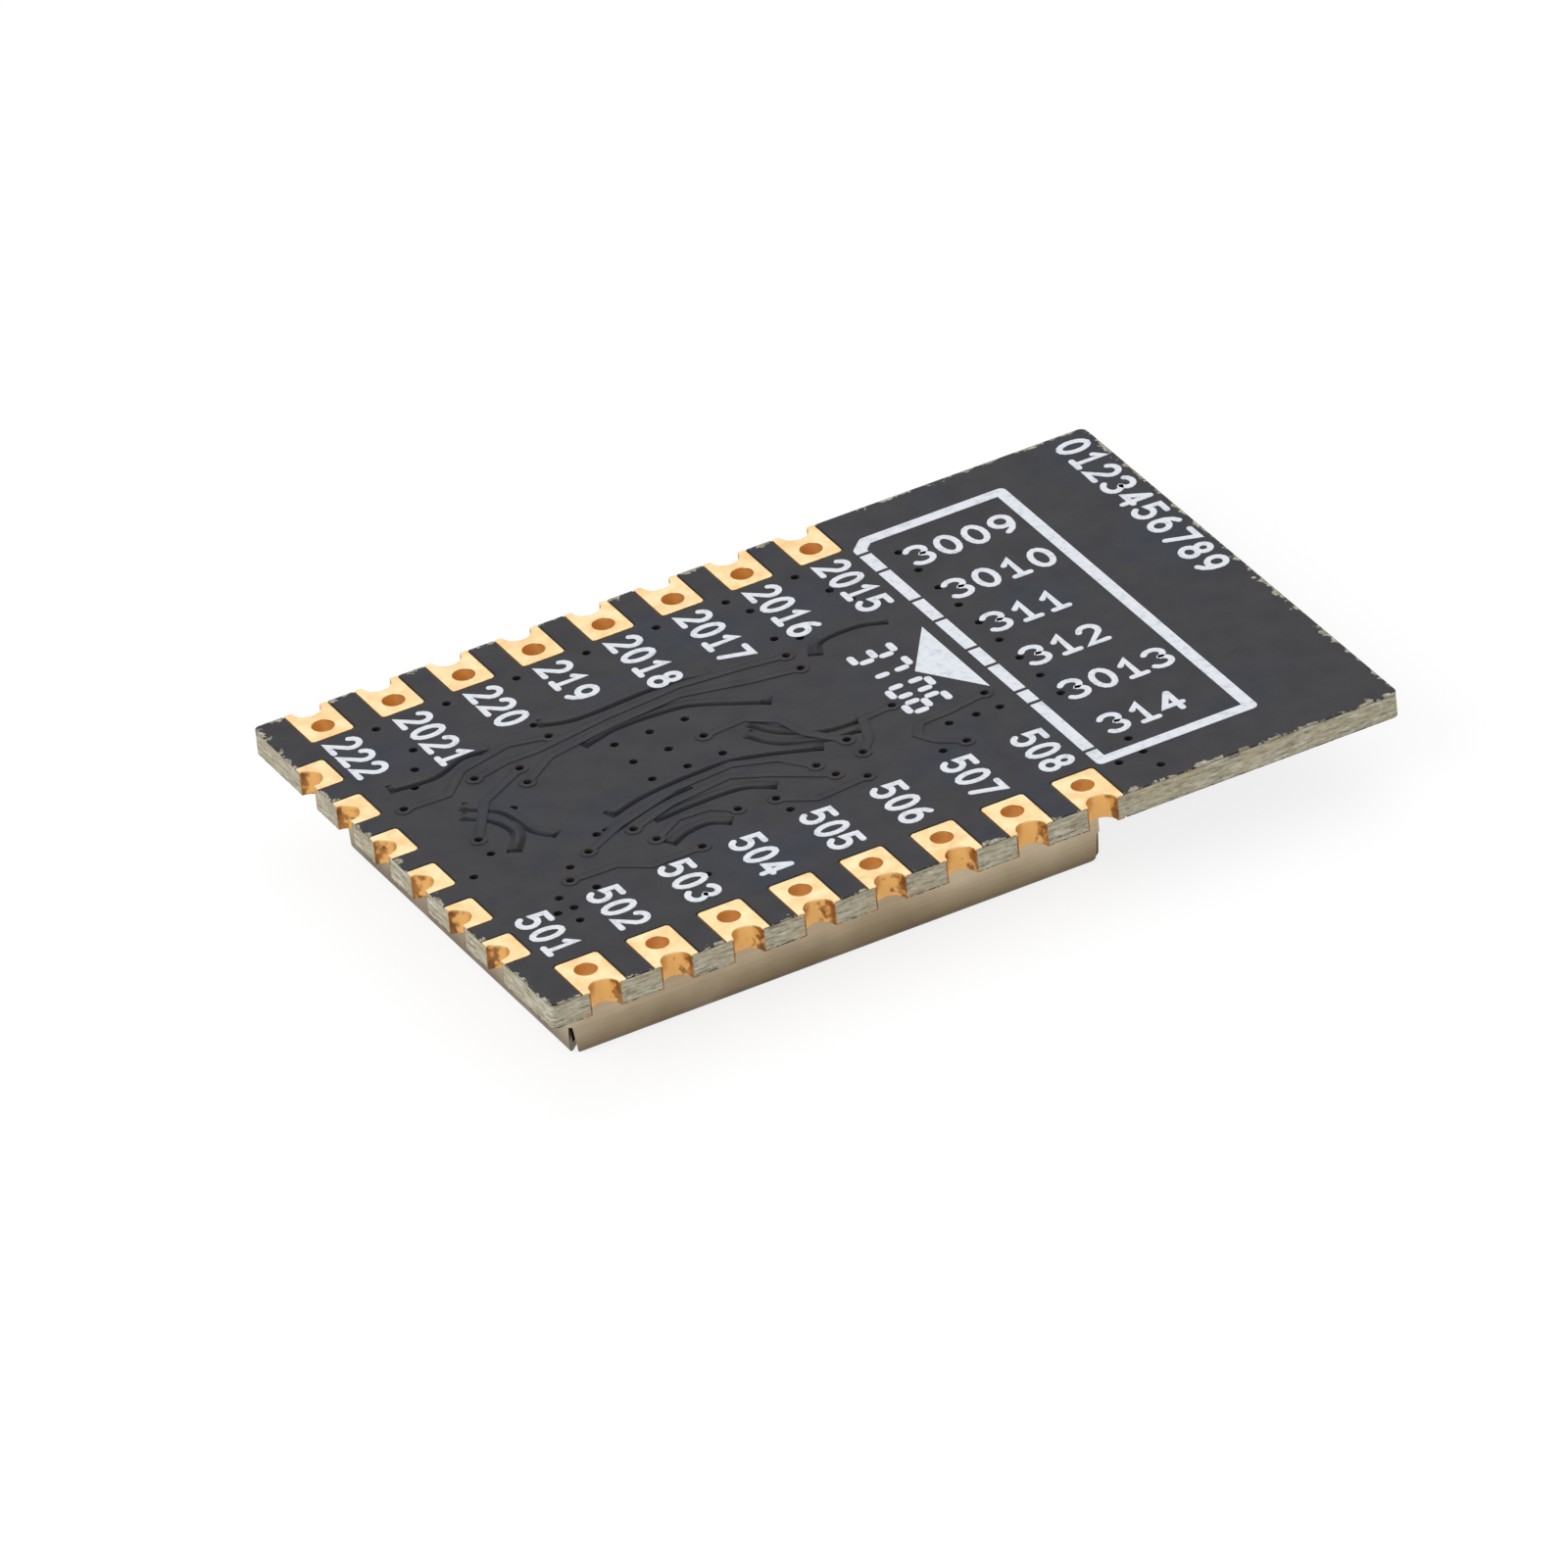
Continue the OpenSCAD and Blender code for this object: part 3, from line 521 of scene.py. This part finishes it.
# Tracks of the layer below, that the mask shows as faint ridges.
FAINT_TRACKS = [
    [(5.3, 6.9), (6.6, 7.3), (8.6, 7.45), (9.7, 7.2), (11.2, 6.5)],
    [(4.9, 6.2), (6.4, 6.75), (7.6, 6.95)],
    [(6.1, 6.05), (7.2, 6.15), (8.6, 6.1), (9.4, 5.6)],
    [(5.9, 4.8), (6.5, 5.1), (7.2, 5.15), (7.7, 4.8)],
    [(5.9, 11.8), (6.9, 11.5), (9.1, 11.6), (10.6, 11.3)],
    [(6.3, 10.2), (7.4, 10.5), (8.9, 10.45), (9.7, 10.2), (11.2, 9.2)],
    [(10.2, 8.6), (10.7, 7.8), (11.6, 7.2), (12.5, 7.1)],
    [(9.9, 8.2), (10.4, 7.4), (11.3, 6.85), (12.3, 6.7)],
    [(2.3, 9.1), (2.9, 8.5), (3.1, 7.6), (2.6, 6.8)],
    [(2.5, 9.5), (3.3, 8.7), (3.5, 7.5), (3.9, 6.9)],
    [(1.4, 11.3), (2.6, 11.2), (3.6, 11.6), (4.4, 11.5)],
    [(13.1, 10.4), (13.5, 11), (14.6, 11.1), (15.4, 10.8)],
]


def smooth(path, steps=6):
    """Points of a soft curve through the points of a path."""
    ends = [2 * path[0] - path[1], *path, 2 * path[-1] - path[-2]]
    curve = []
    for i in range(1, len(ends) - 2):
        p0, p1, p2, p3 = ends[i - 1 : i + 3]
        for step in range(steps):
            t = step / steps
            pull = (p2 - p0) * t + (2 * p0 - 5 * p1 + 4 * p2 - p3) * t**2
            curve.append(p1 + (pull + (3 * p1 - p0 - 3 * p2 + p3) * t**3) / 2)
    return curve + [path[-1]]


def add_ridges(material, half=0.2, height=0.005, sunk=0.005, columns=6, fade_steps=4):
    """Low ridges with soft sides, sunk a little into the mask, that fade in over some steps."""
    verts, faces = [], []
    for track in FAINT_TRACKS:
        path = smooth([board(*point) for point in track])
        right, left = sides(path, half, False)
        base, last = len(verts), len(path) - 1
        for i, (a, b) in enumerate(zip(right, left)):
            fade = math.sin(math.pi / 2 * min(i, last - i, fade_steps) / fade_steps)
            for column in range(columns + 1):
                t = column / columns
                rise = height * fade * (0.5 - 0.5 * math.cos(2 * math.pi * t))
                verts.append((*a.lerp(b, t), MASK_TOP + rise))
            verts += [(*b, MASK_TOP - sunk), (*a, MASK_TOP - sunk)]
        ring = columns + 3
        for i in range(last):
            for k in range(ring):
                at, to = base + i * ring + k, base + i * ring + (k + 1) % ring
                faces.append((at, at + ring, to + ring, to))
        faces.append(tuple(base + k for k in range(ring)))
        faces.append(tuple(base + last * ring + k for k in reversed(range(ring))))
    mesh = bpy.data.meshes.new("faint_tracks")
    mesh.from_pydata([[c * MM for c in v] for v in verts], [], faces)
    mesh.materials.append(material)
    for face in mesh.polygons:
        face.use_smooth = abs(face.normal.z) > 0.5
    return add_piece("faint_tracks", mesh)


# Numbers run across the board, tops to the antenna end, apart from the pin list's.
ACROSS, TO_ANTENNA = Vector((0, -1)), Vector((1, 0))
LABEL_SIZE, LABEL_HALF, LABEL_ADVANCE = (0.43, 0.8), 0.085, 0.71
FIRST_PAD, PAD_PITCH = 1.5, 2.0
NEAR_ROW_Y, FAR_ROW_Y = 4.0, 14.15


def across_number(ink, digits, x, y):
    """A number across the board, centred on x, its first digit's outside at y."""
    origin = board(x - LABEL_SIZE[1] / 2, y - LABEL_HALF)
    ink.number(digits, origin, ACROSS, TO_ANTENNA, LABEL_SIZE, LABEL_HALF, LABEL_ADVANCE)


def print_marks(material):
    """The printed figures: plain numbers in the places of the words on the real board."""
    near = Ink()
    for i in range(8):
        across_number(near, str(501 + i), FIRST_PAD + i * PAD_PITCH, NEAR_ROW_Y)
    near.piece("near_row_numbers", material)

    far = Ink()
    for i, digits in enumerate(("222", "2021", "220", "219", "2018", "2017", "2016", "2015")):
        across_number(far, digits, FIRST_PAD + i * PAD_PITCH, FAR_ROW_Y)
    far.piece("far_row_numbers", material)

    listed = Ink()
    for i, digits in enumerate(("3009", "3010", "311", "312", "3013", "314")):
        origin = board(17.35, 12.65 - i * PAD_PITCH)
        listed.number(digits, origin, TO_ANTENNA, -ACROSS, (0.5, 0.84), LABEL_HALF, 0.8)
    listed.piece("pin_list_numbers", material)

    end = Ink()
    origin, size, advance = board(22.92, 15.55), (0.47, 0.8), 0.79
    end.number("0123456789", origin, ACROSS, TO_ANTENNA, size, LABEL_HALF, advance)
    end.piece("end_numbers", material)

    batch = Ink()
    for digit, y in (("3", 9.85), ("7", 9.05), ("0", 7.85), ("6", 7.0)):
        strokes = [SEGMENTS[s] for s in SEGMENT_DIGITS[digit]]
        batch.text(strokes, board(13.72, y), ACROSS, TO_ANTENNA, (0.5, 1.12), 0.1)
    batch.piece("batch_digits", material)


def add_camera():
    """The photograph's view: from the near left and above, tilted a little to the left."""
    azimuth, elevation, roll = (math.radians(a) for a in (-25.383, 31.761, -6.1645))
    target, distance = Vector((-2.4645, -2.4649, PAD_TOP)), 450.1
    back = Vector(
        (
            math.sin(azimuth) * math.cos(elevation),
            -math.cos(azimuth) * math.cos(elevation),
            math.sin(elevation),
        )
    )
    right = (-back).cross(Vector((0, 0, 1))).normalized()
    up = right.cross(-back)
    across = right * math.cos(roll) + up * math.sin(roll)
    upward = up * math.cos(roll) - right * math.sin(roll)
    data = bpy.data.cameras.new("camera")
    data.sensor_width = 36
    data.lens = 416.45
    data.clip_start, data.clip_end = 0.01, 20  # metres
    camera = bpy.data.objects.new("camera", data)
    camera.matrix_world = Matrix.Translation((target + back * distance) * MM) @ Matrix(
        (across, upward, back)
    ).transposed().to_4x4()
    bpy.context.scene.collection.objects.link(camera)
    bpy.context.scene.camera = camera


def add_lamp(name, place, size, watts):
    """A soft white square lamp that faces the part."""
    data = bpy.data.lights.new(name, "AREA")
    data.size = size * MM
    data.energy = watts
    lamp = bpy.data.objects.new(name, data)
    lamp.location = Vector(place) * MM
    lamp.rotation_euler = (-lamp.location).to_track_quat("-Z", "Y").to_euler()
    bpy.context.scene.collection.objects.link(lamp)


def seen_rays(tree):
    """1 for rays from the camera, a mirror or a lens, and 0 for those that light things."""
    path = tree.nodes.new("ShaderNodeLightPath")
    total = path.outputs["Is Camera Ray"]
    for name in ("Is Glossy Ray", "Is Transmission Ray"):
        node = tree.nodes.new("ShaderNodeMath")
        node.operation = "MAXIMUM"
        tree.links.new(total, node.inputs[0])
        tree.links.new(path.outputs[name], node.inputs[1])
        total = node.outputs[0]
    return total


def add_world(light):
    """White where it is seen, and plain light of the given strength on the part."""
    world = bpy.data.worlds.new("studio")
    bpy.context.scene.world = world
    world.use_nodes = True
    tree = world.node_tree
    background = tree.nodes["Background"]
    background.inputs["Color"].default_value = (1, 1, 1, 1)
    strength = tree.nodes.new("ShaderNodeMapRange")
    strength.inputs["To Min"].default_value = light
    tree.links.new(seen_rays(tree), strength.inputs["Value"])
    tree.links.new(strength.outputs["Result"], background.inputs["Strength"])


def add_floor(glow, seen_tone, tone):
    """A white table that throws light up at the part, with a faint shadow where it is seen."""
    material = bpy.data.materials.new("table")
    material.use_nodes = True
    tree = material.node_tree
    bsdf = tree.nodes["Principled BSDF"]
    bsdf.inputs["Roughness"].default_value = 0.9
    bsdf.inputs["Specular IOR Level"].default_value = 0
    bsdf.inputs["Emission Color"].default_value = (1, 1, 1, 1)
    seen = seen_rays(tree)
    for socket, unseen_value, seen_value in (
        ("Base Color", tone, seen_tone),
        ("Emission Strength", 0, glow),
    ):
        value = tree.nodes.new("ShaderNodeMapRange")
        value.inputs["To Min"].default_value = unseen_value
        value.inputs["To Max"].default_value = seen_value
        tree.links.new(seen, value.inputs["Value"])
        tree.links.new(value.outputs["Result"], bsdf.inputs[socket])
    mesh = bpy.data.meshes.new("table")
    reach, level = 3.0, -0.00002  # metres
    corners = [(-reach, -reach), (reach, -reach), (reach, reach), (-reach, reach)]
    mesh.from_pydata([(x, y, level) for x, y in corners], [], [(0, 1, 2, 3)])
    mesh.materials.append(material)
    table = bpy.data.objects.new("table", mesh)
    bpy.context.scene.collection.objects.link(table)


def add_studio():
    """Light from all round, a bright lamp on the left and two weak ones, over a white table."""
    add_world(0.45)
    add_floor(glow=0.82, seen_tone=0.22, tone=0.65)
    add_lamp("key", (-300, -90, 230), 260, 0.8)
    add_lamp("fill", (240, -260, 200), 300, 0.28)
    add_lamp("top", (60, 160, 360), 300, 0.35)
    bpy.context.scene.view_settings.view_transform = "Standard"


finishes = dress_frame()
print_marks(finishes["printed_frame"])
add_ridges(finishes["solder_mask_back"])
add_camera()
add_studio()
